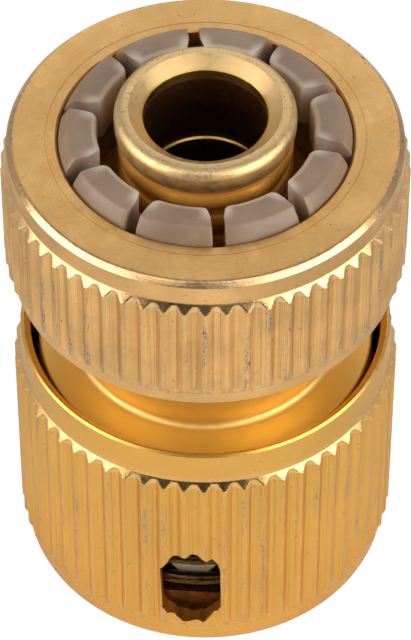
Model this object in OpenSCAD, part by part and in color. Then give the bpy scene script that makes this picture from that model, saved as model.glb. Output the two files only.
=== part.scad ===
/* [Sleeve] */
// Height of the sliding sleeve
sleeve_h = 26.1; // [24.5:0.1:27]
// Thickness of the sleeve's wall over the ridges of its knurl
sleeve_wall = 1.48; // [1.3:0.02:2.5]
// Depth of the sleeve's plain bands below the ridges
sleeve_band_drop = 0.52; // [0.46:0.02:0.6]
// Taper of the plain bands towards the sleeve's ends
sleeve_band_taper = 0.16; // [0.1:0.02:0.3]
// Height of the plain band above the knurl
sleeve_top_band = 3.3; // [2.5:0.1:4]
// Height of the plain band below the knurl
sleeve_low_band = 2.3; // [1.5:0.1:2.6]
// Number of flutes round the sleeve
sleeve_flutes = 60; // [48:1:72]
// Turn of the first flute from the front, in degrees
sleeve_flute_turn = 7.1; // [0:0.1:12]
// Height of the inner lip that locks the balls
lip_h = 5.4; // [5.1:0.1:6]
// Growth of the lip's bore per millimetre downwards, which frees the balls
lip_slope = 0.2; // [0.18:0.01:0.22]
// Travel of the sleeve from locked to released
sleeve_travel = 4.5; // [4:0.1:4.6]

/* [Inspection window] */
// Width of the rounded slot in the sleeve
window_w = 5.2; // [4:0.1:6]
// Height of the rounded slot in the sleeve
window_h = 9.4; // [7:0.1:10]
// Height of the slot's middle
window_z = 8.1; // [7.8:0.1:9]

/* [Spring and balls] */
// Diameter of the spring's wire
wire_d = 1.2; // [0.9:0.05:1.3]
// Full coils between the closed end coils
spring_coils = 3.5; // [2.5:0.25:4.5]
// Depth by which a locked ball stands into the socket
ball_grip = 0.9; // [0.8:0.05:1]
// Number of locking balls
ball_count = 6; // [6:1:6]
// Height of the balls' middles
ball_z = 4.7; // [4.6:0.05:4.9]

/* [Body] */
// Thickness of the body's wall round the socket
body_wall = 5; // [4.8:0.05:5.3]
// Gap between the flange and the sleeve's bore, radial
flange_gap = 0.7; // [0.5:0.05:0.8]
// Thickness of the flange
flange_t = 2; // [1.5:0.1:2.5]
// Depth of the flange's top below the rim of the sleeve
flange_sink = 1.8; // [1:0.1:2.5]
// Depth of the neck below the body's radius
neck_drop = 2.4; // [2:0.1:3]
// Rounding at the foot of the neck
neck_fillet = 0.8; // [0.4:0.1:1.2]
// Room between the sleeve's rim and the threaded collar
collar_gap = 4.5; // [4.5:0.1:5]
// Height of the threaded collar
collar_h = 9.4; // [8.8:0.1:9.8]

/* [Socket] */
// Bore that the plug's nose enters, radius
socket_r = 8.7; // [8.5:0.05:8.8]
// Depth of the socket up to its cone
socket_h = 14; // [12:0.5:15]
// Bore in which the plug seals, radius
seal_r = 7.6; // [7.3:0.05:7.65]
// Length of the sealing bore
seal_h = 6; // [5:0.5:6.5]

/* [Hose spigot] */
// Height by which the spigot's end stands out of the nut
spigot_out = 3.4; // [3:0.1:4]
// Thickness of the spigot's wall
spigot_wall = 1.7; // [1.5:0.05:2.2]
// Width of the cone at the mouth of the water way
mouth_w = 0.9; // [0.5:0.1:1]
// Height of the rounded bead over the spigot's wall
bead_out = 0.74; // [0.6:0.02:0.8]
// Height of the rounded bead
bead_h = 2.9; // [2.7:0.1:3.4]
// Radius of the spigot below its bead
spigot_r = 6.9; // [6.7:0.05:7]
// Height of each holding ring over the spigot's wall
ring_out = 0.52; // [0.3:0.02:0.6]
// Distance from one holding ring to the next
ring_pitch = 2.5; // [2.2:0.1:2.7]

/* [Clamp nut] */
// Height of the clamp nut
nut_h = 15; // [14.5:0.1:15.2]
// Stretch of the collar that shows below the nut
nut_gap = 3; // [2.7:0.1:3.2]
// Thickness of the nut's wall over the ridges of its knurl
nut_wall = 3.76; // [3:0.02:5]
// Depth of the nut's plain bands below the ridges
nut_band_drop = 0.56; // [0.46:0.02:0.7]
// Height of the plain band above the knurl
nut_top_band = 2.5; // [2:0.1:3]
// Height of the plain band below the knurl
nut_low_band = 1.4; // [1:0.1:2]
// Number of flutes round the nut
nut_flutes = 62; // [48:1:72]
// Turn of the first flute from the front, in degrees
nut_flute_turn = 7.5; // [0:0.1:12]
// Narrowing of the nut's cone from its thread to the hole in its top
nut_cone_in = 1.1; // [0.9:0.05:1.3]
// Depth of the cone that presses the fingers together
nut_cone_h = 5.2; // [4.8:0.1:5.4]
// Thread pitch of nut and collar
thread_pitch = 1.5; // [1:0.25:2]

/* [Collet] */
// Number of gripping fingers
finger_count = 10; // [8:1:12]
// Width of the slots between the fingers
finger_gap = 1.05; // [0.8:0.05:1.3]
// Turn of the first slot from the front, in degrees
finger_turn = 9.9; // [0:0.1:18]
// Height by which the fingers stand out of the nut
finger_out = 1.3; // [0.8:0.1:1.8]
// Room for the hose's wall between the bead and the fingers
hose_room = 1.46; // [1.4:0.02:1.8]
// Depth of the fingers' heads over their stems
finger_hook = 1.3; // [1:0.05:1.4]
// Thickness of the collet's closed ring
collet_wall = 2.8; // [2.6:0.05:3]
// Slope of the fingers' ends from the nut's mouth to their end faces
finger_bevel = 1.4; // [1.1:0.05:1.6]

/* [Fits] */
// Running clearance of the sleeve on the body, radial
slide_fit = 0.08; // [0.05:0.01:0.12]
// Clearance round a ball in its hole, radial
ball_fit = 0.05; // [0.03:0.01:0.08]
// Clearance between a ball and the lip that holds it
lock_fit = 0.06; // [0.04:0.01:0.1]
// Clearance of the nut's thread on the collar, radial
thread_fit = 0.1; // [0.08:0.01:0.15]
// Clearance of the spring to the body and to the sleeve, radial
spring_fit = 0.25; // [0.2:0.01:0.3]
// Clearance of the fingers in the nut's cone, radial
finger_fit = 0.16; // [0.12:0.01:0.25]
// Clearance at the seats of loose pieces, along the axis
seat_fit = 0.25; // [0.15:0.01:0.3]
// Side of the snap ring's section, along the axis
clip_t = 0.6; // [0.5:0.05:0.7]
// Height by which the snap ring stands out of the body
clip_out = 1.1; // [1.05:0.05:1.2]
// Opening between the two ends of the snap ring
clip_gap = 5; // [3:0.5:8]

/* [Edges] */
// Chamfer at the ends of each knurl, along the axis
knurl_end = 0.8; // [0.6:0.05:1]
// Small chamfer on turned edges
edge = 0.3; // [0.2:0.05:0.4]
// Chamfer inside the sleeve's rim
rim_bevel = 0.5; // [0.3:0.05:0.6]
// Depth of the flutes in both knurls
flute_depth = 0.42; // [0.3:0.02:0.44]

/* [Hidden] */
gold = [0.80, 0.58, 0.27];
deep_gold = [0.72, 0.48, 0.16];
plastic = [0.58, 0.52, 0.47];
steel = [0.66, 0.66, 0.68];
// Faces on full turns and on short arcs
round_fn = 96;
arc_steps = 6;
// Half the width of a flute's floor and of its mouth, as shares of the distance between flutes
flute_floor = 0.16;
flute_mouth = 0.41;
// Overlap of a cutting shape past the surface that it cuts
past = 1;

// Radii of the body and of the sleeve that runs on it
body_r = socket_r + body_wall;
flange_r = body_r + 2 * spring_fit + wire_d - flange_gap;
neck_r = body_r - neck_drop;
sleeve_bore_r = body_r + 2 * spring_fit + wire_d;
sleeve_crest_r = sleeve_bore_r + sleeve_wall;
sleeve_band_r = sleeve_crest_r - sleeve_band_drop;
sleeve_rim_r = sleeve_band_r - sleeve_band_taper;

// Radii of the spigot, of the fingers that press the hose on it and of the thread round them
water_r = spigot_r - spigot_wall;
bead_r = spigot_r + bead_out;
ring_r = spigot_r + ring_out;
finger_in_r = bead_r + hose_room;
stem_in_r = finger_in_r + finger_hook;
collet_r = stem_in_r + collet_wall;
collet_gap = 0.3;
thread_r = collet_r + collet_gap;
collar_r = thread_r - thread_fit;

// Heights along the body
collar_z = sleeve_h + collar_gap;
nut_z = collar_z + nut_gap;
nut_top = nut_z + nut_h;
spigot_z = nut_top + spigot_out;
flange_top = sleeve_h - flange_sink;
flange_under = flange_top - flange_t;
collar_top = collar_z + collar_h;
seal_z = socket_h + socket_r - seal_r;
seal_top = seal_z + seal_h;
flange_round = 0.3;
collar_chamfer = 0.6;

// Snap ring in its groove near the open end, and the counterbore that takes it in the sleeve
clip_fit = 0.05;
groove_depth = 1;
groove_z = 0.5;
groove_t = clip_t + 2 * clip_fit;
groove_r = body_r - groove_depth;
clip_r = body_r + clip_out;
clip_z = groove_z + clip_fit;
clip_room_r = clip_r + 4 * clip_fit;
clip_room_h = clip_z + clip_t + seat_fit;

// Lip of the sleeve and the place of the balls against it
lip_r = body_r + slide_fit;
function lip_r_at(z) = lip_r + (lip_h - z) * lip_slope;
ball_r = (body_wall + slide_fit + (lip_h - ball_z) * lip_slope
    - lock_fit * sqrt(1 + lip_slope * lip_slope) + ball_grip) / (1 + sqrt(1 + lip_slope * lip_slope));
ball_at = lip_r_at(ball_z) - (ball_r + lock_fit) * sqrt(1 + lip_slope * lip_slope);
ball_hole_r = ball_r + ball_fit;
// The hole's cone that keeps a ball from falling inwards, in shares of the ball's radius
seat_from = 0.3 * ball_r;
seat_to = 0.7 * ball_r;
seat_r = 0.75 * ball_r;

// Rise of the cone between the sealing bore and the water way, per millimetre
floor_slope = 0.2;
// The turned faces start between two ball holes
seam_turn = 180 / ball_count;

// Spigot
bead_land = 0.6;
bead_top_r = water_r + mouth_w + bead_land;
bead_under = bead_h / 2;
bead_mid_z = spigot_z - bead_under;
ring_h = 1.6;
ring_gap = 0.3;
ring_first_z = spigot_z - bead_h - ring_gap - ring_h / 2;
ring_count = max(1, floor((ring_first_z - ring_h - collar_top) / ring_pitch) + 1);
// Step in the water way, where the drills from both ends meet
step_depth = 9;
step_z = spigot_z - step_depth;
step_r = water_r - 0.15;

// Nut and collet share the cone
nut_crest_r = thread_r + nut_wall;
nut_band_r = nut_crest_r - nut_band_drop;
nut_mouth_r = thread_r - nut_cone_in;
finger_tip_r = nut_mouth_r - finger_bevel;
cone_z = nut_top - nut_cone_h;
cone_r = thread_r - collet_gap;
function cone_r_at(z) = cone_r + (nut_mouth_r - cone_r) * (z - cone_z) / nut_cone_h;
nut_bevel = 0.4;
mouth_bevel = 0.15;
collet_z = collar_top + seat_fit;
cone_room = 0.55;
collet_ring_top = cone_z - cone_room;
head_h = 4.4;
finger_top = nut_top + finger_out;
taper_z = nut_top - 0.2;
finger_chamfer = 0.5;

// Spring between the lip and the flange
coil_r = body_r + spring_fit + wire_d / 2 - 0.03;
end_pitch = wire_d + 0.12;
coil_lift = 0.04;
coil_low = lip_h + wire_d / 2 + coil_lift;
coil_high = flange_under - wire_d / 2 - coil_lift;
coil_turn = 130;
coil_steps = 24;
wire_sides = 8;

// Points of an elliptic arc round (cr, cz), with half axes a and b, from angle f to angle t
function arc(cr, cz, a, b, f, t) =
    [for (i = [0:arc_steps]) let (q = f + (t - f) * i / arc_steps) [cr + a * cos(q), cz + b * sin(q)]];

// Profile of one knurled ring cut from a turned blank: n flutes of depth d below the crest radius
module fluted(crest, d, n, turn, z0, h) {
    root = crest - d;
    out = d * 0.2;
    step = 360 / n;
    open = flute_mouth + (flute_mouth - flute_floor) * out / d;
    pts = [for (i = [0:n - 1]) let (a = -90 + turn + i * step) each [
        [crest + out, a - open * step], [root, a - flute_floor * step],
        [root, a + flute_floor * step], [crest + out, a + open * step]]];
    translate([0, 0, z0])
        linear_extrude(height = h)
            polygon([for (p = pts) [p[0] * cos(p[1]), p[0] * sin(p[1])]]);
}

module body_blank() {
    rotate_extrude($fn = round_fn)
        polygon(concat(
            [[0, 0], [body_r - edge / 2, 0], [body_r, edge / 2]],
            [[body_r, groove_z], [groove_r, groove_z], [groove_r, groove_z + groove_t]],
            [[body_r, groove_z + groove_t], [body_r, flange_under], [flange_r, flange_under]],
            arc(flange_r - flange_round, flange_top - flange_round, flange_round, flange_round, 0, 90),
            arc(neck_r + neck_fillet, flange_top + neck_fillet, neck_fillet, neck_fillet, 270, 180),
            [[neck_r, collar_z], [collar_r - collar_chamfer, collar_z]],
            [[collar_r, collar_z + collar_chamfer], [collar_r, collar_top - collar_chamfer]],
            [[collar_r - collar_chamfer, collar_top], [spigot_r, collar_top]],
            [for (k = [ring_count - 1:-1:0]) each
                arc(spigot_r, ring_first_z - k * ring_pitch, ring_r - spigot_r, ring_h / 2, -90, 90)],
            arc(spigot_r, bead_mid_z, bead_r - spigot_r, bead_under, -90, -15),
            arc(bead_top_r, bead_mid_z, bead_r - bead_top_r, bead_under, 0, 90),
            [[0, spigot_z]]));
}

module ball_hole() {
    translate([ball_at, 0, ball_z])
        rotate([0, 90, 0])
            union() {
                translate([0, 0, -seat_from])
                    cylinder(r = ball_hole_r, h = body_r - ball_at + seat_from + past, $fn = round_fn);
                translate([0, 0, -seat_to])
                    cylinder(r1 = seat_r, r2 = ball_hole_r, h = seat_to - seat_from, $fn = round_fn);
                translate([0, 0, socket_r - past - ball_at])
                    cylinder(r = seat_r, h = ball_at - socket_r + past - seat_to + 0.05, $fn = round_fn);
            }
}

module body() {
    color(deep_gold)
        difference() {
            rotate([0, 0, seam_turn])
                body_blank();
            rotate([0, 0, seam_turn])
                rotate_extrude($fn = round_fn)
                    polygon([
                        [0, -past], [socket_r + edge + past, -past], [socket_r, edge],
                        [socket_r, socket_h], [seal_r, seal_z], [seal_r, seal_top],
                        [step_r, seal_top + (seal_r - step_r) * floor_slope], [step_r, step_z],
                        [water_r, step_z + water_r - step_r], [water_r, spigot_z - mouth_w],
                        [water_r + mouth_w + past, spigot_z + past], [0, spigot_z + past]]);
            for (i = [0:ball_count - 1])
                rotate([0, 0, i * 360 / ball_count])
                    ball_hole();
        }
}

module ball(i) {
    color(steel)
        rotate([0, 0, (i - 1) * 360 / ball_count])
            translate([ball_at, 0, ball_z])
                sphere(r = ball_r, $fn = round_fn);
}

module snap_ring() {
    color(steel)
        translate([0, 0, clip_z])
            difference() {
                cylinder(r = clip_r, h = clip_t, $fn = round_fn);
                translate([0, 0, -past])
                    cylinder(r = groove_r + 2 * clip_fit, h = clip_t + 2 * past, $fn = round_fn);
                translate([0, -clip_gap / 2, -past])
                    cube([clip_r + past, clip_gap, clip_t + 2 * past]);
            }
}

module sleeve_blank() {
    rotate_extrude($fn = round_fn)
        polygon([
            [clip_room_r, 0], [sleeve_rim_r - edge, 0], [sleeve_rim_r, edge],
            [sleeve_band_r, 2 * edge], [sleeve_band_r, sleeve_low_band],
            [sleeve_crest_r, sleeve_low_band + knurl_end],
            [sleeve_crest_r, sleeve_h - sleeve_top_band - knurl_end],
            [sleeve_band_r, sleeve_h - sleeve_top_band],
            [sleeve_rim_r, sleeve_h - edge / 2], [sleeve_rim_r - edge / 2, sleeve_h],
            [sleeve_bore_r + rim_bevel, sleeve_h], [sleeve_bore_r, sleeve_h - rim_bevel],
            [sleeve_bore_r, lip_h], [lip_r, lip_h],
            [lip_r_at(clip_room_h), clip_room_h], [clip_room_r, clip_room_h]]);
}

module release_sleeve() {
    color(gold)
        difference() {
            intersection() {
                sleeve_blank();
                fluted(sleeve_crest_r, flute_depth, sleeve_flutes, sleeve_flute_turn,
                    -past, sleeve_h + 2 * past);
            }
            translate([0, 0, window_z])
                rotate([90, 0, 0])
                    union() {
                        for (s = [-1, 1])
                            translate([0, s * (window_h - window_w) / 2, body_r])
                                cylinder(d = window_w, h = sleeve_crest_r - body_r + past, $fn = round_fn);
                        translate([-window_w / 2, -(window_h - window_w) / 2, body_r])
                            cube([window_w, window_h - window_w, sleeve_crest_r - body_r + past]);
                    }
        }
}

// Height of the coil's middle after t turns: flat end coils, an even pitch between them
coil_rise = (coil_high - coil_low - 2 * end_pitch) / spring_coils;
coil_turns = spring_coils + 2;
function coil_z(t) =
    t < 1 ? coil_low + t * end_pitch :
    t > coil_turns - 1 ? coil_high - (coil_turns - t) * end_pitch :
    coil_low + end_pitch + (t - 1) * coil_rise;

module sleeve_spring() {
    rings = round(coil_turns * coil_steps);
    pts = [for (i = [0:rings]) let (t = i / coil_steps, a = -90 + coil_turn + t * 360)
        for (j = [0:wire_sides - 1]) let (q = (j + 0.5) * 360 / wire_sides,
            r = coil_r + wire_d / 2 * cos(q))
            [r * cos(a), r * sin(a), coil_z(t) + wire_d / 2 * sin(q)]];
    last = rings * wire_sides;
    color(steel)
        polyhedron(points = pts, faces = concat(
            [[for (j = [0:wire_sides - 1]) j]],
            [for (i = [0:rings - 1]) for (j = [0:wire_sides - 1])
                let (a = i * wire_sides + j, b = i * wire_sides + (j + 1) % wire_sides)
                    [a, a + wire_sides, b + wire_sides, b]],
            [[for (j = [wire_sides - 1:-1:0]) last + j]]), convexity = 10);
}

module nut_blank() {
    rotate_extrude($fn = round_fn)
        polygon([
            [thread_r + edge, nut_z], [nut_band_r - edge, nut_z], [nut_band_r, nut_z + edge],
            [nut_band_r, nut_z + nut_low_band], [nut_crest_r, nut_z + nut_low_band + knurl_end],
            [nut_crest_r, nut_top - nut_top_band - knurl_end],
            [nut_band_r, nut_top - nut_top_band], [nut_band_r, nut_top - nut_bevel],
            [nut_band_r - nut_bevel, nut_top], [nut_mouth_r + mouth_bevel, nut_top],
            [cone_r_at(nut_top - mouth_bevel), nut_top - mouth_bevel],
            [cone_r, cone_z], [thread_r, cone_z], [thread_r, nut_z + edge]]);
}

module clamp_nut() {
    color(gold)
        intersection() {
            nut_blank();
            fluted(nut_crest_r, flute_depth, nut_flutes, nut_flute_turn, nut_z - past, nut_h + 2 * past);
        }
}

// Slot between two fingers, with the inner corners of both fingers cut back
module finger_slot() {
    half = finger_gap / 2;
    translate([0, 0, collet_ring_top])
        linear_extrude(height = finger_top - collet_ring_top + past)
            polygon([
                [finger_in_r - past, half + finger_chamfer + past * 0.6],
                [finger_in_r + finger_chamfer, half], [collet_r + past, half],
                [collet_r + past, -half], [finger_in_r + finger_chamfer, -half],
                [finger_in_r - past, -half - finger_chamfer - past * 0.6]]);
}

module clamp_collet() {
    head_z = finger_top - head_h;
    color(plastic)
        difference() {
            rotate_extrude($fn = round_fn)
                polygon([
                    [stem_in_r, collet_z], [collet_r, collet_z],
                    [collet_r, collet_ring_top - 2 * edge], [collet_r - edge / 2, collet_ring_top - edge],
                    [cone_r_at(cone_z) - finger_fit, cone_z], [cone_r_at(taper_z) - finger_fit, taper_z],
                    [finger_tip_r, finger_top], [finger_in_r + edge, finger_top],
                    [finger_in_r, finger_top - edge], [finger_in_r, head_z],
                    [stem_in_r, head_z - (stem_in_r - finger_in_r) / 2]]);
            for (i = [0:finger_count - 1])
                rotate([0, 0, -90 + finger_turn + i * 360 / finger_count])
                    finger_slot();
        }
}

body();
clamp_nut();
clamp_collet();
release_sleeve();
sleeve_spring();
snap_ring();
ball(1);  // ball_1
ball(2);  // ball_2
ball(3);  // ball_3
ball(4);  // ball_4
ball(5);  // ball_5
ball(6);  // ball_6
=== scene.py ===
import math
import random
import bmesh
import bpy
from mathutils import Matrix, Vector


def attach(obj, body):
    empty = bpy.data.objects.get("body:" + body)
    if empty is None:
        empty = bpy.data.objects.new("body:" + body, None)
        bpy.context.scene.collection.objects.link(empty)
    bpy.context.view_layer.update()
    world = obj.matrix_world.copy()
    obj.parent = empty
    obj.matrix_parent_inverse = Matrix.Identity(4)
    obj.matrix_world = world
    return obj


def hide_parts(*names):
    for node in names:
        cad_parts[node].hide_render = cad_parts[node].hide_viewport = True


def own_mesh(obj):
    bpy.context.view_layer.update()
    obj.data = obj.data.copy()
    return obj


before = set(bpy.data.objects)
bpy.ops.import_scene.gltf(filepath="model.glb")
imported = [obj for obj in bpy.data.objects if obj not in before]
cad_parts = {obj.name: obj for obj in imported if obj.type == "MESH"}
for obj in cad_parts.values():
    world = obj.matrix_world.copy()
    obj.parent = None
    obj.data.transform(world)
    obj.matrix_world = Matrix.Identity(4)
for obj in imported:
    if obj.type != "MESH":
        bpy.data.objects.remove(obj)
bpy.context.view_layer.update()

# ---- Studio -------------------------------------------------------------
# A white table, painted greyer towards both sides as painted shade, and a white room,
# with a soft lamp at each side of the fitting and three more overhead. The room is
# darker low down in front, where a photographer stands.
scene = bpy.context.scene
scene.view_settings.view_transform = "Standard"

eye_turn = math.radians(4.6)
eye_rise = math.radians(48.95)
eye_far = 0.350
eye_aim = Vector((0.0, 0.0, 0.0252))
eye_back = Vector((math.sin(eye_turn) * math.cos(eye_rise),
                   -math.cos(eye_turn) * math.cos(eye_rise), math.sin(eye_rise)))
lens = bpy.data.cameras.new("eye")
lens.sensor_fit = "VERTICAL"
lens.sensor_height = 36.0
lens.lens = 223.9
lens.clip_start = 0.01
lens.clip_end = 10.0
eye = bpy.data.objects.new("eye", lens)
scene.collection.objects.link(eye)
eye.location = eye_aim + eye_back * eye_far
eye.rotation_euler = eye_back.to_track_quat("Z", "Y").to_euler()
scene.camera = eye


def soft_lamp(name, turn, rise, far, wide, high, watts):
    shine = bpy.data.lights.new(name, "AREA")
    shine.shape = "RECTANGLE"
    shine.size = wide
    shine.size_y = high
    shine.energy = watts
    lamp = bpy.data.objects.new(name, shine)
    scene.collection.objects.link(lamp)
    turn, rise = math.radians(turn), math.radians(rise)
    out = Vector((math.sin(turn) * math.cos(rise), -math.cos(turn) * math.cos(rise),
                  math.sin(rise)))
    lamp.location = eye_aim + out * far
    lamp.rotation_euler = out.to_track_quat("Z", "Y").to_euler()


soft_lamp("lamp_left", -65, 21, 0.60, 0.60, 0.44, 2.5)
soft_lamp("lamp_right", 63, 21, 0.60, 0.60, 0.44, 2.9)
soft_lamp("lamp_top", 178, 36, 0.70, 0.60, 0.34, 0.55)
soft_lamp("lamp_front_left", -32, 51, 0.70, 0.40, 0.26, 0.42)
soft_lamp("lamp_front_right", 37, 51, 0.70, 0.40, 0.26, 0.50)

room = bpy.data.worlds.new("room")
scene.world = room
room.use_nodes = True
tree = room.node_tree
tree.nodes.clear()
room_out = tree.nodes.new("ShaderNodeOutputWorld")
room_mix = tree.nodes.new("ShaderNodeMixShader")
room_seen = tree.nodes.new("ShaderNodeBackground")
room_seen.inputs["Color"].default_value = (1, 1, 1, 1)
room_seen.inputs["Strength"].default_value = 1.0
room_lit = tree.nodes.new("ShaderNodeBackground")
room_path = tree.nodes.new("ShaderNodeLightPath")
room_place = tree.nodes.new("ShaderNodeTexCoord")
room_part = tree.nodes.new("ShaderNodeSeparateXYZ")
room_front = tree.nodes.new("ShaderNodeMapRange")
room_front.inputs["From Min"].default_value = -0.85
room_front.inputs["From Max"].default_value = -0.25
room_front.inputs["To Min"].default_value = 0.03
room_front.inputs["To Max"].default_value = 0.50
tree.links.new(room_place.outputs["Generated"], room_part.inputs[0])
tree.links.new(room_part.outputs["Y"], room_front.inputs["Value"])
tree.links.new(room_front.outputs[0], room_lit.inputs["Strength"])
tree.links.new(room_path.outputs["Is Camera Ray"], room_mix.inputs[0])
tree.links.new(room_lit.outputs[0], room_mix.inputs[1])
tree.links.new(room_seen.outputs[0], room_mix.inputs[2])
tree.links.new(room_mix.outputs[0], room_out.inputs[0])

table_mesh = bmesh.new()
bmesh.ops.create_grid(table_mesh, x_segments=1, y_segments=1, size=1.2)
table_data = bpy.data.meshes.new("table_top")
table_mesh.to_mesh(table_data)
table_mesh.free()
table_top = bpy.data.objects.new("table_top", table_data)
scene.collection.objects.link(table_top)
table_top.location.z = -0.00005
table_white = bpy.data.materials.new("table_white")
table_white.use_nodes = True
tree = table_white.node_tree
tree.nodes.clear()
table_out = tree.nodes.new("ShaderNodeOutputMaterial")
table_mix = tree.nodes.new("ShaderNodeMixShader")
table_matt = tree.nodes.new("ShaderNodeBsdfDiffuse")
table_place = tree.nodes.new("ShaderNodeTexCoord")
table_side = tree.nodes.new("ShaderNodeSeparateXYZ")
table_off = tree.nodes.new("ShaderNodeMath")
table_off.operation = "ABSOLUTE"
# Painted shade: the table's own colour turns greyer away from the middle at both sides.
table_painted_side_shade = tree.nodes.new("ShaderNodeMapRange")
table_painted_side_shade.inputs["From Min"].default_value = 0.022
table_painted_side_shade.inputs["From Max"].default_value = 0.060
table_painted_side_shade.inputs["To Min"].default_value = 0.90
table_painted_side_shade.inputs["To Max"].default_value = 0.62
tree.links.new(table_place.outputs["Object"], table_side.inputs[0])
tree.links.new(table_side.outputs["X"], table_off.inputs[0])
tree.links.new(table_off.outputs[0], table_painted_side_shade.inputs["Value"])
tree.links.new(table_painted_side_shade.outputs[0], table_matt.inputs["Color"])
table_glow = tree.nodes.new("ShaderNodeEmission")
table_glow.inputs["Color"].default_value = (1, 1, 1, 1)
table_glow.inputs["Strength"].default_value = 1.05
table_far = tree.nodes.new("ShaderNodeVectorMath")
table_far.operation = "LENGTH"
table_open = tree.nodes.new("ShaderNodeMapRange")
table_open.inputs["From Min"].default_value = 0.0150
table_open.inputs["From Max"].default_value = 0.0152
table_open.inputs["To Min"].default_value = 0.0
table_open.inputs["To Max"].default_value = 0.93
tree.links.new(table_place.outputs["Object"], table_far.inputs[0])
tree.links.new(table_far.outputs["Value"], table_open.inputs["Value"])
table_path = tree.nodes.new("ShaderNodeLightPath")
table_share = tree.nodes.new("ShaderNodeMath")
table_share.operation = "MULTIPLY"
tree.links.new(table_path.outputs["Is Camera Ray"], table_share.inputs[0])
tree.links.new(table_open.outputs[0], table_share.inputs[1])
tree.links.new(table_share.outputs[0], table_mix.inputs[0])
tree.links.new(table_matt.outputs[0], table_mix.inputs[1])
tree.links.new(table_glow.outputs[0], table_mix.inputs[2])
tree.links.new(table_mix.outputs[0], table_out.inputs[0])
table_data.materials.append(table_white)

# ---- Clamp nut ------------------------------------------------------------
# A ring of aluminium turned from bar, with a straight knurl pressed round it
# and an inner cone that squeezes the fingers. It is dyed gold, and the dye is
# rubbed off along the ridges and the top edge.
mm = 0.001
nut_low, nut_high = 33.6, 48.6
nut_band, nut_crest, nut_bore = 16.70, 17.26, 13.5
nut_flutes, nut_first, nut_depth, flute_steps = 62, 7.5, 0.44, 12
nut_ends = (35.75, 45.45)


def ramp(a, b, steps):
    return [(a[0] + (b[0] - a[0]) * i / steps, a[1] + (b[1] - a[1]) * i / steps)
            for i in range(1, steps + 1)]


def bend(cr, cz, a, b, start, end, steps=6):
    turn = [math.radians(start + (end - start) * i / steps) for i in range(steps + 1)]
    return [(cr + a * math.cos(t), cz + b * math.sin(t)) for t in turn]


def turned(profile, steps, start=0.0):
    form = bmesh.new()
    start = math.radians(start)
    ring = [form.verts.new((r * mm * math.sin(start), -r * mm * math.cos(start), z * mm))
            for r, z in profile]
    line = [form.edges.new((a, b)) for a, b in zip(ring, ring[1:] + ring[:1])]
    bmesh.ops.spin(form, geom=ring + line, cent=(0, 0, 0), axis=(0, 0, 1),
                   angle=2 * math.pi, steps=steps, use_merge=True)
    bmesh.ops.remove_doubles(form, verts=form.verts, dist=1e-7)
    bmesh.ops.recalc_face_normals(form, faces=form.faces)
    return form


def knurl(form, crest, depth, count, first, low, high, seed):
    """Presses V grooves into the crest; each has its own small lean and depth."""
    half, steep = 0.41, 1.35
    rng = random.Random(seed)
    lean = [(rng.uniform(-0.02, 0.02), rng.uniform(0.88, 1.04)) for _ in range(count)]
    for v in form.verts:
        r = math.hypot(v.co.x, v.co.y) / mm
        z = v.co.z / mm
        if r < crest - depth or z < low or z > high:
            continue
        turn = math.degrees(math.atan2(v.co.x, -v.co.y)) - first
        place = turn * count / 360
        flute = round(place)
        shift, deep = lean[int(flute) % count]
        u = min(1.0, abs(place - flute + shift) / half)
        cut = crest - depth * deep * min(1.0, steep * (1 - u))
        if r > cut:
            v.co.x *= cut / r
            v.co.y *= cut / r


def piece_from(form, name, body, angle=28):
    data = bpy.data.meshes.new(name)
    form.to_mesh(data)
    form.free()
    data.polygons.foreach_set("use_smooth", [True] * len(data.polygons))
    data.set_sharp_from_angle(angle=math.radians(angle))
    made = bpy.data.objects.new(name, data)
    scene.collection.objects.link(made)
    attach(made, body)
    return made


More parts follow.
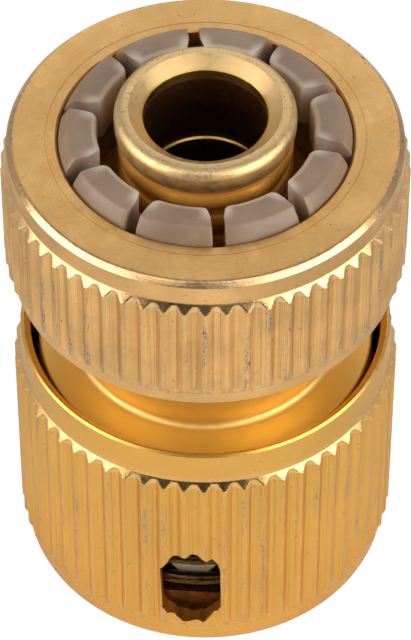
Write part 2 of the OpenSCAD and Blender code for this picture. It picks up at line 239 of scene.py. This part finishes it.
class Shades:
    """Links shader nodes in a material's tree, one call for each."""

    def __init__(self, name):
        self.mat = bpy.data.materials.new(name)
        self.mat.use_nodes = True
        self.tree = self.mat.node_tree
        self.skin = self.tree.nodes["Principled BSDF"]
        self.place = self.tree.nodes.new("ShaderNodeTexCoord").outputs["Object"]

    def feed(self, socket, value):
        if isinstance(value, bpy.types.NodeSocket):
            self.tree.links.new(value, socket)
        elif isinstance(value, tuple) and len(value) == 3 and socket.type == "RGBA":
            socket.default_value = (*value, 1)
        else:
            socket.default_value = value

    def math(self, kind, a, b=0.0, c=0.0):
        made = self.tree.nodes.new("ShaderNodeMath")
        made.operation = kind
        for socket, value in zip(made.inputs, (a, b, c)):
            self.feed(socket, value)
        return made.outputs[0]

    def noise(self, scale, detail=3.0, rough=0.55, stretch=None, place=None):
        spot = place or self.place
        if stretch:
            fit = self.tree.nodes.new("ShaderNodeMapping")
            fit.inputs["Scale"].default_value = stretch
            self.feed(fit.inputs["Vector"], spot)
            spot = fit.outputs[0]
        made = self.tree.nodes.new("ShaderNodeTexNoise")
        made.inputs["Scale"].default_value = scale
        made.inputs["Detail"].default_value = detail
        made.inputs["Roughness"].default_value = rough
        self.feed(made.inputs["Vector"], spot)
        return made.outputs[0]

    def step(self, value, low, high, to_low=0.0, to_high=1.0):
        made = self.tree.nodes.new("ShaderNodeMapRange")
        made.interpolation_type = "SMOOTHSTEP"
        for name, number in (("From Min", low), ("From Max", high),
                             ("To Min", to_low), ("To Max", to_high)):
            made.inputs[name].default_value = number
        self.feed(made.inputs["Value"], value)
        return made.outputs[0]

    def blend(self, share, a, b):
        made = self.tree.nodes.new("ShaderNodeMix")
        made.data_type = "RGBA"
        self.feed(made.inputs[0], share)
        self.feed(made.inputs[6], a)
        self.feed(made.inputs[7], b)
        return made.outputs[2]

    def bump(self, height, strength, size, under=None):
        made = self.tree.nodes.new("ShaderNodeBump")
        made.inputs["Strength"].default_value = strength
        made.inputs["Distance"].default_value = size
        self.feed(made.inputs["Height"], height)
        if under is not None:
            self.feed(made.inputs["Normal"], under)
        return made.outputs[0]

    def around(self):
        """Distance from the turning axis, and height."""
        part = self.tree.nodes.new("ShaderNodeSeparateXYZ")
        self.feed(part.inputs[0], self.place)
        x, y, z = part.outputs
        flat = self.math("ADD", self.math("MULTIPLY", x, x), self.math("MULTIPLY", y, y))
        return self.math("SQRT", flat), z


def gold(name, dye, rough, ridge=None, ends=(0.0, 0.0), edges=(), lathe=0.0, grime=0.5,
         painted_shade_zones=(), rub=1.0, lined=0.5, mottle=0.14, patch=None):
    """Dyed aluminium: ridge is a crest radius, ends the heights where its flutes start to
    run out, edges are rubbed (radius, height, width), and each painted shade zone (least and
    largest radius, least and largest height) is painted a near-black brown as painted shade."""
    s = Shades(name)
    r, z = s.around()
    cloud = s.noise(160, 3)
    fine = s.noise(1500, 4, 0.6)
    grain = s.noise(9000, 3, 0.6)
    pale = tuple(min(1.0, c * (1 + 0.7 * mottle)) for c in dye)
    dark = tuple(c * (1 - mottle) for c in dye)
    colour = s.blend(s.step(cloud, 0.35, 0.65), dark, pale)
    colour = s.blend(s.step(fine, 0.30, 0.72, 0.0, 0.55), colour, dye)
    specks = s.step(s.noise(2600, 2, 0.5), 0.68, 0.75, 0.0, grime)
    colour = s.blend(specks, colour, tuple(c * 0.35 for c in dye))
    part = s.tree.nodes.new("ShaderNodeSeparateXYZ")
    s.feed(part.inputs[0], s.place)
    combine = s.tree.nodes.new("ShaderNodeCombineXYZ")
    s.feed(combine.inputs[0], r)
    s.feed(combine.inputs[1], z)
    s.feed(combine.inputs[2], s.math("MULTIPLY", 0.6 * mm, s.math("ARCTAN2", part.outputs[0],
                                                                  part.outputs[1])))
    rings = s.noise(6500, 4, 0.7, place=combine.outputs[0])
    colour = s.blend(s.step(rings, 0.56, 0.74, 0.0, 0.55 * lathe), colour,
                     tuple(c * 0.55 for c in dye))
    worn = None
    if ridge:
        streak = s.noise(7200, 3, 0.66, stretch=(1, 1, 0.004))
        full = s.math("MULTIPLY", s.step(z, (ends[0] - 0.05) * mm, (ends[0] + 0.02) * mm),
                      s.step(z, (ends[1] + 0.05) * mm, (ends[1] - 0.02) * mm))
        inside = s.math("MULTIPLY", full, s.step(r, (ridge - 0.54) * mm, (ridge - 0.48) * mm))
        lines = s.math("MULTIPLY", s.step(streak, 0.48, 0.36, 0.0, lined), inside)
        colour = s.blend(lines, colour, tuple(c * k for c, k in zip(dye, (0.62, 0.50, 0.36))))
        crest = s.math("MULTIPLY", full, s.step(r, (ridge - 0.12) * mm, (ridge - 0.03) * mm))
        nicks = s.step(s.noise(2400, 4, 0.74, stretch=(1, 1, 0.12)), 0.45, 0.60)
        worn = s.math("MULTIPLY", s.math("MULTIPLY", crest, nicks),
                      s.step(s.noise(330, 3, 0.6, stretch=(1, 1, 0.2)), 0.46, 0.58,
                             0.12 * rub, rub))
    for er, ez, wide in edges:
        dr = s.math("SUBTRACT", r, er * mm)
        dz = s.math("SUBTRACT", z, ez * mm)
        away = s.math("SQRT", s.math("ADD", s.math("MULTIPLY", dr, dr),
                                     s.math("MULTIPLY", dz, dz)))
        close = s.math("MULTIPLY", s.step(away, wide * mm, wide * 0.5 * mm),
                       s.step(s.noise(150, 3, 0.6), 0.38, 0.58))
        bare = s.math("MULTIPLY", close, s.step(s.noise(2100, 5, 0.75), 0.47, 0.56))
        worn = bare if worn is None else s.math("MAXIMUM", worn, bare)
    if worn is not None:
        metal = s.blend(s.step(s.noise(5200, 3, 0.7), 0.40, 0.62), (0.17, 0.12, 0.08),
                        (0.60, 0.50, 0.38))
        colour = s.blend(worn, colour, metal)
    matt = s.step(s.math("ADD", s.math("MULTIPLY", cloud, 0.5), s.math("MULTIPLY", fine, 0.5)),
                  0.3, 0.7, rough - 0.05, rough + 0.07)
    if ridge:
        cut = s.math("MULTIPLY", s.math("SUBTRACT", 1.0, full),
                     s.step(r, (ridge - 0.55) * mm, (ridge - 0.50) * mm))
        matt = s.math("SUBTRACT", matt, s.math("MULTIPLY", cut, 0.12))
        # Painted highlight: the upper run-out faces of the flutes are painted a pale gold.
        facet_painted_highlight = s.math("MULTIPLY", cut, s.step(z, ends[1] * mm, (ends[1] + 0.1) * mm))
        colour = s.blend(s.math("MULTIPLY", facet_painted_highlight, 0.35), colour, (0.90, 0.61, 0.34))
    # Painted shade: each of these zones is painted a near-black brown and made rougher.
    for zone in painted_shade_zones:
        least, most, low, high = (q * mm for q in zone)
        painted_shade = s.math("MULTIPLY",
                        s.math("MULTIPLY", s.step(r, least - 0.00002, least + 0.00002),
                               s.step(r, most + 0.00002, most - 0.00002)),
                        s.math("MULTIPLY", s.step(z, low, low + 0.0006),
                               s.step(z, high, high - 0.0006)))
        colour = s.blend(s.math("MULTIPLY", painted_shade, s.step(fine, 0.2, 0.6, 0.86, 0.99)), colour,
                         (0.10, 0.034, 0.010))
        matt = s.math("ADD", matt, s.math("MULTIPLY", painted_shade, 0.2))
    s.skin.inputs["Metallic"].default_value = 1.0
    if patch:
        colour, matt = patch(s, z, colour, matt)
    s.feed(s.skin.inputs["Base Color"], colour)
    s.feed(s.skin.inputs["Roughness"], matt)
    normal = s.bump(grain, 0.35, 0.02 * mm)
    normal = s.bump(fine, 0.25, 0.04 * mm, normal)
    normal = s.bump(rings, lathe, 0.03 * mm, normal)
    if ridge:
        normal = s.bump(s.math("MULTIPLY", streak, inside), 0.6, 0.05 * mm, normal)
    if worn is not None:
        normal = s.bump(worn, -0.5, 0.03 * mm, normal)
    s.feed(s.skin.inputs["Normal"], normal)
    return s.mat


nut_dye = (0.81, 0.49, 0.185)
nut_profile = (
    [(13.8, nut_low), (14.6, nut_low), (15.5, nut_low), (16.42, nut_low)]
    + ramp((16.42, nut_low), (nut_band, 33.86), 3) + [(nut_band, 34.3), (nut_band, 35.0)]
    + ramp((nut_band, 35.0), (nut_crest, nut_ends[0]), 9)
    + ramp((nut_crest, nut_ends[0]), (nut_crest, nut_ends[1]), 6)
    + ramp((nut_crest, nut_ends[1]), (nut_band, 46.30), 11)
    + [(nut_band, 46.5), (nut_band, 47.2), (nut_band, 47.6), (nut_band, 48.0),
       (nut_band, 48.16)]
    + ramp((16.69, 48.18), (16.28, 48.58), 4)
    + [(16.24, nut_high), (16.0, nut_high), (15.6, nut_high), (14.6, nut_high),
       (13.52, nut_high), (13.48, nut_high), (13.44, 48.58), (13.40, nut_high),
       (13.36, nut_high), (12.9, nut_high), (12.60, nut_high)]
    + ramp((12.60, nut_high), (12.43, 48.45), 2)
    + [(12.75, 46.2), (13.2, 43.4), (nut_bore, 43.4), (nut_bore, 38.0), (nut_bore, 33.9)])
nut_form = turned(nut_profile, nut_flutes * flute_steps, nut_first)
knurl(nut_form, nut_crest, nut_depth, nut_flutes, nut_first, 34.6, 46.6, 3)
nut = piece_from(nut_form, "knurled_clamp_nut", "nut")


def nut_zones(s, z, colour, matt):
    """A turned bevel painted paler as a painted highlight, a stain round the mouth, a duller
    cone inside.
    """
    r = s.around()[0]
    # Painted highlight: the outer top bevel is painted paler and made smoother.
    bevel = s.math("MULTIPLY", s.step(z, 48.12 * mm, 48.18 * mm),
                   s.step(r, 16.22 * mm, 16.28 * mm))
    matt = s.math("SUBTRACT", matt, s.math("MULTIPLY", bevel, 0.17))
    colour = s.blend(s.math("MULTIPLY", bevel, 0.4), colour, (0.92, 0.62, 0.35))
    top = s.step(z, 48.55 * mm, 48.59 * mm)
    smear = s.step(s.noise(420, 4, 0.7), 0.42, 0.62)
    stain = s.math("MULTIPLY", s.math("MULTIPLY", top, smear),
                   s.step(r, 15.4 * mm, 13.0 * mm, 0.25, 0.55))
    colour = s.blend(stain, colour, (0.70, 0.36, 0.095))
    cone = s.math("MULTIPLY", s.step(r, 13.6 * mm, 13.5 * mm), s.step(z, 48.5 * mm, 48.35 * mm))
    colour = s.blend(cone, colour, (0.62, 0.27, 0.02))
    s.feed(s.skin.inputs["Metallic"], s.math("SUBTRACT", 1.0, s.math("MULTIPLY", cone, 0.7)))
    matt = s.math("ADD", matt, s.math("MULTIPLY", cone, 0.15))
    return colour, matt


nut.data.materials.append(gold(
    "nut_gold", nut_dye, 0.36, ridge=nut_crest, ends=nut_ends, lathe=0.4, grime=0.55,
    lined=0.60, mottle=0.18, patch=nut_zones,
    edges=((16.36, 48.50, 0.36), (12.45, 48.58, 0.10), (16.55, 33.7, 0.12))))
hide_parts("clamp_nut")

# ---- Collet -----------------------------------------------------------------
# A moulded nylon ring with ten fingers that close on the hose. Each finger is
# moulded a little uneven, and light passes into its thin edges; these edges and the
# inner faces are also painted paler, as painted light.
collet_low, collet_shoulder, finger_top = 40.25, 42.85, 49.9
finger_in, finger_slot, finger_edge = 9.1, 1.05, 0.16
finger_count, finger_first = 10, 9.9
finger_turn = 360 / finger_count
collet_form = turned([(10.4, collet_low), (13.2, collet_low), (13.2, 42.3), (13.05, 42.6),
                      (12.9, collet_shoulder), (10.4, collet_shoulder)], 120)
finger_rng = random.Random(11)
finger_profile = [(10.4, 42.6), (12.9, 42.6), (13.10, 43.4), (12.35, 48.35), (12.18, 48.86),
                  (11.55, finger_top), (10.9, finger_top), (10.3, finger_top), (9.6, finger_top),
                  (9.32, finger_top), (finger_in, 49.66), (finger_in, 45.5), (10.4, 44.85)]
for k in range(finger_count):
    one = bmesh.new()
    corner = [one.verts.new((0, -r * mm, z * mm)) for r, z in finger_profile]
    face = one.faces.new(corner)
    bmesh.ops.rotate(one, verts=one.verts, cent=(0, 0, 0),
                     matrix=Matrix.Rotation(math.radians(-finger_turn / 2), 3, "Z"))
    bmesh.ops.spin(one, geom=[face] + list(face.edges) + corner, cent=(0, 0, 0),
                   axis=(0, 0, 1), angle=math.radians(finger_turn), steps=12)
    bmesh.ops.recalc_face_normals(one, faces=one.faces)
    narrow = finger_rng.uniform(-0.10, 0.14)
    for v in one.verts:
        r = math.hypot(v.co.x, v.co.y) / mm
        turn = math.atan2(v.co.x, -v.co.y)
        full = math.radians(finger_turn / 2)
        cut = finger_slot / 2 + narrow / 2 + max(0.0, 9.62 - r) * 1.0
        keep = full - math.asin(cut / r)
        turn *= keep / full
        v.co.x, v.co.y = r * mm * math.sin(turn), -r * mm * math.cos(turn)
    keen = [e for e in one.edges if len(e.link_faces) == 2
            and e.calc_face_angle() > math.radians(24)
            and (e.verts[0].co.z + e.verts[1].co.z) / 2 > 43.0 * mm]
    bmesh.ops.bevel(one, geom=keen, offset=finger_edge * mm, segments=2, profile=0.5,
                    affect="EDGES", material=-1, clamp_overlap=True)
    bmesh.ops.rotate(one, verts=one.verts, cent=(0, 0, 0), matrix=Matrix.Rotation(
        math.radians(finger_first + finger_turn * (k + 0.5) + finger_rng.uniform(-0.5, 0.5)),
        3, "Z"))
    part = bpy.data.meshes.new("finger")
    one.to_mesh(part)
    one.free()
    collet_form.from_mesh(part)
    bpy.data.meshes.remove(part)
collet = piece_from(collet_form, "finger_collet", "collet", 35)
s = Shades("natural_nylon")
r, z = s.around()
haze = s.noise(260, 3)
nylon = s.blend(s.step(haze, 0.35, 0.65), (0.262, 0.172, 0.108), (0.312, 0.210, 0.134))
# Painted light: the inner faces of the fingers are painted paler, for light passing through the
# thin nylon.
inner = s.step(r, 9.75 * mm, 9.25 * mm)
part = s.tree.nodes.new("ShaderNodeSeparateXYZ")
s.feed(part.inputs[0], s.place)
turn = s.math("ARCTAN2", part.outputs[0], s.math("MULTIPLY", part.outputs[1], -1.0))
phase = s.math("FRACT", s.math("ADD", s.math("DIVIDE", turn, math.radians(finger_turn)),
                               finger_count + 0.5 - finger_first / finger_turn))
beside = s.math("ABSOLUTE", s.math("SUBTRACT", phase, 0.5))
beside = s.math("MULTIPLY", s.math("MULTIPLY", beside, math.radians(finger_turn)), r)
# Painted highlight: the finger edges along the slots, near the inner radius, are painted paler.
corner = s.math("MULTIPLY", s.step(beside, 1.7 * mm, 0.8 * mm), s.step(r, 11.2 * mm, 9.6 * mm))
nylon = s.blend(s.math("MULTIPLY", corner, 0.7), nylon, (0.66, 0.56, 0.46))
scuff = s.step(s.noise(1500, 4, 0.7), 0.60, 0.74, 0.0, 0.35)
nylon = s.blend(s.math("MULTIPLY", inner, 0.75), nylon, (0.60, 0.50, 0.40))
nylon = s.blend(scuff, nylon, (0.42, 0.35, 0.30))
s.feed(s.skin.inputs["Base Color"], nylon)
s.feed(s.skin.inputs["Roughness"], s.step(s.noise(1200, 2), 0.3, 0.7, 0.28, 0.44))
s.skin.inputs["Subsurface Weight"].default_value = 0.35
s.skin.inputs["Subsurface Radius"].default_value = (1.0, 0.8, 0.6)
s.skin.inputs["Subsurface Scale"].default_value = 0.0012
s.feed(s.skin.inputs["Normal"], s.bump(s.noise(2200, 4, 0.6), 0.35, 0.04 * mm))
collet.data.materials.append(s.mat)
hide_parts("clamp_collet")

# ---- Body -------------------------------------------------------------------
# One turned piece of aluminium, dyed a deeper gold where nothing rubs it: the
# hose spigot with its bead and rings, the threaded collar, the neck, the
# flange over the spring and the socket with six ball holes.
body_r, flange_r, flange_low, flange_high = 13.7, 14.7, 22.3, 24.3
neck_r, socket_r, seal_r = 11.3, 8.7, 7.6
spigot_r, spigot_high, way_r, way_low_r = 6.9, 52.0, 5.2, 5.05
body_profile = (
    [(9.0, 0.0), (13.55, 0.0), (body_r, 0.15), (body_r, 0.5), (12.7, 0.5), (12.7, 1.2),
     (body_r, 1.2), (body_r, 4.7), (body_r, 9.0), (body_r, 14.0), (body_r, flange_low),
     (flange_r, flange_low), (flange_r, 23.2)]
    + bend(14.4, 24.0, 0.3, 0.3, 0, 90) + [(13.6, flange_high), (12.7, flange_high)]
    + bend(12.1, 25.1, 0.8, 0.8, 270, 180, 8)
    + [(neck_r, 27.6), (neck_r, 30.6), (12.5, 30.6), (12.7, 30.8), (12.7, 35.2), (12.7, 39.8),
       (12.5, 40.0), (10.0, 40.0), (spigot_r, 40.0), (spigot_r, 42.1)]
    + bend(spigot_r, 43.0, 0.52, 0.8, -90, 90) + bend(spigot_r, 45.5, 0.52, 0.8, -90, 90)
    + bend(spigot_r, 48.0, 0.52, 0.8, -90, 90) + bend(spigot_r, 50.55, 0.74, 1.45, -90, -12)
    + [(7.64, 50.55)] + bend(6.80, 51.10, 0.84, 0.90, 0, 84, 9)
    + [(6.60, spigot_high), (6.42, spigot_high)] + ramp((6.38, 51.98), (5.24, 51.08), 3)
    + [(way_r, 50.95), (way_r, 47.0), (way_r, 43.15), (way_low_r, 43.0), (way_low_r, 34.0),
       (way_low_r, 22.0), (way_low_r, 21.61), (seal_r, 21.1), (seal_r, 18.0), (seal_r, 15.1),
       (socket_r, 14.0), (socket_r, 9.5), (socket_r, 4.7), (socket_r, 0.3)])
body_form = turned(body_profile, 192)
fitting = piece_from(body_form, "turned_fitting", "fitting", 30)


def cut_out(target, cutter_form, crossing):
    """Cuts the form out of target; crossing is for a form whose own parts overlap."""
    data = bpy.data.meshes.new("cutter")
    cutter_form.to_mesh(data)
    cutter_form.free()
    cutter = bpy.data.objects.new("cutter", data)
    scene.collection.objects.link(cutter)
    cut = target.modifiers.new("cut", "BOOLEAN")
    cut.operation = "DIFFERENCE"
    cut.solver = "EXACT"
    cut.use_self = crossing
    cut.object = cutter
    bpy.context.view_layer.update()
    seen = target.evaluated_get(bpy.context.evaluated_depsgraph_get())
    made = bpy.data.meshes.new_from_object(seen)
    target.modifiers.clear()
    bpy.data.objects.remove(cutter)
    bpy.data.meshes.remove(data)
    old = target.data
    target.data = made
    bpy.data.meshes.remove(old)
    made.polygons.foreach_set("use_smooth", [True] * len(made.polygons))
    made.set_sharp_from_angle(angle=math.radians(30))


ball_at, ball_z = 10.80, 4.7
holes = bmesh.new()
for k in range(6):
    for low, high, r1, r2 in ((-3.4, -2.1, 2.25, 2.25), (-2.1, -0.9, 2.25, 3.05),
                              (-0.9, 4.2, 3.05, 3.05)):
        spot = (Matrix.Rotation(math.radians(60 * k), 4, "Z")
                @ Matrix.Translation(((ball_at + (low + high) / 2) * mm, 0, ball_z * mm))
                @ Matrix.Rotation(math.radians(90), 4, "Y"))
        bmesh.ops.create_cone(holes, cap_ends=True, segments=48, radius1=r1 * mm,
                              radius2=r2 * mm, depth=(high - low) * mm * 1.001, matrix=spot)
cut_out(fitting, holes, True)
thread_pitch, thread_low, thread_turns = 1.5, 30.7, 5.6
thread_steps = int(96 * thread_turns)
ridge = bmesh.new()
ridge.from_mesh(fitting.data)
thread_cut = [ridge.verts.new((q[0] * mm, 0, (thread_low + q[1]) * mm)) for q in
              ((12.6, 0.0), (13.36, 0.66), (13.36, 0.86), (12.6, 1.46))]
thread_face = ridge.faces.new(thread_cut)
thread_edges = list(thread_face.edges)
bmesh.ops.spin(
    ridge, geom=[thread_face] + thread_edges + thread_cut, cent=(0, 0, 0), axis=(0, 0, 1),
    angle=2 * math.pi * thread_turns, steps=thread_steps,
    dvec=(0, 0, thread_pitch * mm * thread_turns / thread_steps))
reach = set(thread_cut)
front = list(thread_cut)
while front:
    v = front.pop()
    for e in v.link_edges:
        w = e.other_vert(v)
        if w not in reach:
            reach.add(w)
            front.append(w)
bmesh.ops.recalc_face_normals(ridge, faces=list({f for v in reach for f in v.link_faces}))
ridge.to_mesh(fitting.data)
ridge.free()
fitting.data.polygons.foreach_set("use_smooth", [True] * len(fitting.data.polygons))
fitting.data.set_sharp_from_angle(angle=math.radians(30))
fitting.data.materials.clear()


def body_zones(s, z, colour, matt):
    """A paler spigot, a satin neck and flange painted brighter as painted light, and a
    pale patch of painted light on the body behind the slot.
    """
    part = s.tree.nodes.new("ShaderNodeSeparateXYZ")
    s.feed(part.inputs[0], s.place)
    # Painted light: a pale cream patch on the body behind the slot, where light falls through
    # it.
    dz = s.math("SUBTRACT", z, 8.6 * mm)
    away = s.math("SQRT", s.math("ADD", s.math("MULTIPLY", part.outputs[0], part.outputs[0]),
                                 s.math("MULTIPLY", dz, dz)))
    front = s.step(part.outputs[1], -12.9 * mm, -13.3 * mm)
    spot = s.math("MULTIPLY", s.math("MULTIPLY", front, s.step(away, 2.25 * mm, 2.12 * mm)),
                  s.step(z, 8.2 * mm, 7.9 * mm))
    spigot = s.math("MULTIPLY", s.step(z, 44 * mm, 50.2 * mm),
                    s.step(s.noise(1500, 4, 0.7), 0.25, 0.55, 0.35, 1.0))
    spigot = s.math("MULTIPLY", spigot, s.step(s.around()[0], 5.25 * mm, 5.5 * mm))
    # Painted light: the neck and flange are painted a brighter gold against the shade under the
    # nut.
    neck = s.math("MULTIPLY", s.step(z, 21 * mm, 22 * mm), s.step(z, 31 * mm, 30 * mm))
    colour = s.blend(s.math("MULTIPLY", spigot, 0.85), colour, (0.85, 0.59, 0.29))
    colour = s.blend(neck, colour, (0.90, 0.60, 0.17))
    pit = s.math("MULTIPLY", s.step(z, 39.5 * mm, 39.9 * mm), s.step(z, 49.9 * mm, 48.6 * mm))
    pit = s.math("MULTIPLY", pit, s.step(s.around()[0], 5.6 * mm, 6.0 * mm))
    colour = s.blend(s.math("MULTIPLY", pit, 0.9), colour, (0.66, 0.28, 0.02))
    r = s.around()[0]
    rim = s.math("MULTIPLY", s.step(r, 6.3 * mm, 6.5 * mm), s.step(z, 50.9 * mm, 51.7 * mm))
    scuff = s.blend(s.step(s.noise(4200, 3, 0.7), 0.42, 0.60), (0.42, 0.26, 0.10),
                    (0.93, 0.76, 0.50))
    nick = s.math("MULTIPLY", rim, s.step(s.noise(2300, 5, 0.75), 0.50, 0.60, 0.10, 0.60))
    colour = s.blend(nick, colour, scuff)
    # The painted light patch is also made non-metallic, with no specular.
    colour = s.blend(spot, colour, (0.98, 0.88, 0.56))
    s.feed(s.skin.inputs["Specular IOR Level"],
           s.math("SUBTRACT", 0.5, s.math("MULTIPLY", spot, 0.5)))
    s.feed(s.skin.inputs["Metallic"],
           s.math("SUBTRACT", 1.0, s.math("MAXIMUM", spot, s.math("MULTIPLY", pit, 0.65))))
    matt = s.math("ADD", matt, s.math("MULTIPLY", s.math("MAXIMUM", spigot, neck), 0.13))
    return colour, matt


# Painted shade: the bore and the body under the sleeve are painted a near-black brown.
fitting.data.materials.append(gold(
    "body_gold", (0.80, 0.50, 0.145), 0.31, lathe=0.5, grime=0.3, patch=body_zones,
    painted_shade_zones=((13.0, 14.8, 2.0, 22.25), (0.0, 5.3, 43.25, 50.6), (0.0, 5.3, 22.5, 42.95)),
    edges=((6.78, 51.95, 0.42), (14.62, 24.22, 0.08))))
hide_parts("body")

# ---- Sliding sleeve -----------------------------------------------------------
# A knurled aluminium sleeve that is pulled back to free the plug. It is turned
# and knurled like the nut, and one rounded slot is milled through the knurl,
# which leaves a ragged edge where the cutter breaks out of the flutes.
sleeve_high, sleeve_crest, sleeve_band = 26.1, 16.88, 16.36
sleeve_flutes, sleeve_first, sleeve_depth, sleeve_ends = 60, 7.1, 0.42, (3.0, 22.0)
slot_w, slot_h, slot_z = 5.2, 9.4, 8.1
sleeve_profile = (
    [(15.0, 0.0), (15.5, 0.0), (15.9, 0.0)] + ramp((15.9, 0.0), (16.2, 0.3), 3)
    + [(16.34, 0.7), (sleeve_band, 1.4), (sleeve_band, 2.3)]
    + ramp((sleeve_band, 2.3), (sleeve_crest, sleeve_ends[0]), 9)
    + ramp((sleeve_crest, sleeve_ends[0]), (sleeve_crest, sleeve_ends[1]), 10)
    + ramp((sleeve_crest, sleeve_ends[1]), (sleeve_band, 22.8), 11)
    + [(sleeve_band, 23.0), (16.30, 24.2), (16.22, 25.9)]
    + ramp((16.22, 25.9), (16.05, sleeve_high), 3) + [(15.92, sleeve_high)]
    + ramp((15.92, sleeve_high), (15.4, 25.6), 2)
    + [(15.4, 20.0), (15.4, 12.0), (15.4, 5.4), (13.78, 5.4), (14.2, 3.2), (14.58, 1.4),
       (15.0, 1.4)])
sleeve_form = turned(sleeve_profile, sleeve_flutes * flute_steps, sleeve_first)
knurl(sleeve_form, sleeve_crest, sleeve_depth, sleeve_flutes, sleeve_first, 2.25, 22.9, 8)
sleeve = piece_from(sleeve_form, "sliding_sleeve", "sleeve")
slot_rng = random.Random(5)
slot_cut = bmesh.new()
slot_ring = []
for i in range(40):
    t = 2 * math.pi * i / 40
    lift = (slot_h - slot_w) / 2 * (1 if math.sin(t) >= 0 else -1)
    rag = slot_w / 2 + slot_rng.uniform(-0.10, 0.14)
    slot_ring.append(slot_cut.verts.new((rag * math.cos(t) * mm, -12.5 * mm,
                                         (slot_z + lift + rag * math.sin(t)) * mm)))
slot_face = slot_cut.faces.new(slot_ring)
slot_out = bmesh.ops.extrude_face_region(slot_cut, geom=[slot_face])
bmesh.ops.translate(slot_cut, vec=(0, -7 * mm, 0),
                    verts=[g for g in slot_out["geom"] if isinstance(g, bmesh.types.BMVert)])
for v in slot_cut.verts:
    if v.co.y > -15 * mm:
        v.co.y = -14.9 * mm
bmesh.ops.recalc_face_normals(slot_cut, faces=slot_cut.faces)
cut_out(sleeve, slot_cut, False)
sleeve.data.materials.clear()
# Painted shade: the inner wall of the sleeve is painted a near-black brown.
sleeve.data.materials.append(gold(
    "sleeve_gold", (0.79, 0.44, 0.098), 0.33, ridge=sleeve_crest, ends=sleeve_ends, lathe=0.2,
    rub=0.45, lined=0.40, mottle=0.05, painted_shade_zones=((13.0, 15.42, 1.5, 21.5),),
    edges=((15.92, 26.08, 0.09), (16.1, 0.1, 0.12))))
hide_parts("release_sleeve")

# ---- Spring --------------------------------------------------------------------
# A steel wire coil with closed ends, painted dark brown as painted shade, packed
# between the sleeve's lip and the flange: a flat turn, an even pitch and a flat
# turn.
coil_r, wire_r = 14.52, 0.6
coil_low, coil_high, coil_even, coil_flat = 6.04, 21.66, 3.5, 1.32
coil_form = bmesh.new()
bmesh.ops.create_circle(
    coil_form, segments=16, radius=wire_r * mm, cap_ends=True,
    matrix=Matrix.Rotation(math.radians(130), 4, "Z")
    @ Matrix.Translation((0, -coil_r * mm, coil_low * mm))
    @ Matrix.Rotation(math.radians(90), 4, "Y"))
wire = [f for f in coil_form.faces] + list(coil_form.edges) + list(coil_form.verts)
coil_rise = (coil_high - coil_low - 2 * coil_flat) / coil_even
for turns, rise in ((1.0, coil_flat), (coil_even, coil_rise), (1.0, coil_flat)):
    count = int(72 * turns)
    out = bmesh.ops.spin(coil_form, geom=wire, cent=(0, 0, 0), axis=(0, 0, 1),
                         angle=2 * math.pi * turns, steps=count,
                         dvec=(0, 0, rise * turns * mm / count))
    wire = out["geom_last"]
bmesh.ops.remove_doubles(coil_form, verts=coil_form.verts, dist=1e-7)
bmesh.ops.recalc_face_normals(coil_form, faces=coil_form.faces)
coil = piece_from(coil_form, "sleeve_coil", "coil", 50)
s = Shades("spring_wire")
drawn = s.noise(3000, 3, 0.6, stretch=(0.3, 0.3, 1))
# Painted shade: the wire is painted dark brown, not the grey of steel.
s.feed(s.skin.inputs["Base Color"], s.blend(s.step(drawn, 0.35, 0.65), (0.05, 0.026, 0.010),
                                            (0.15, 0.080, 0.030)))
s.skin.inputs["Metallic"].default_value = 1.0
s.feed(s.skin.inputs["Roughness"], s.step(s.noise(1400, 3), 0.3, 0.7, 0.22, 0.40))
s.feed(s.skin.inputs["Normal"], s.bump(drawn, 0.3, 0.03 * mm))
coil.data.materials.append(s.mat)
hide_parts("sleeve_spring")
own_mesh(coil)

# ---- Snap ring and balls ----------------------------------------------------------
# A split steel ring sprung into its groove keeps the sleeve on, and six ground
# steel balls in the body's holes lock the plug.
s = Shades("ground_steel")
smudge = s.noise(500, 4, 0.6)
s.feed(s.skin.inputs["Base Color"], s.blend(s.step(smudge, 0.3, 0.7), (0.55, 0.55, 0.56),
                                            (0.72, 0.72, 0.73)))
s.skin.inputs["Metallic"].default_value = 1.0
s.feed(s.skin.inputs["Roughness"], s.step(smudge, 0.3, 0.7, 0.10, 0.24))
s.feed(s.skin.inputs["Normal"], s.bump(s.noise(4000, 3), 0.1, 0.01 * mm))
for name in ("snap_ring", "ball_1", "ball_2", "ball_3", "ball_4", "ball_5", "ball_6"):
    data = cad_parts[name].data
    data.materials.clear()
    data.materials.append(s.mat)
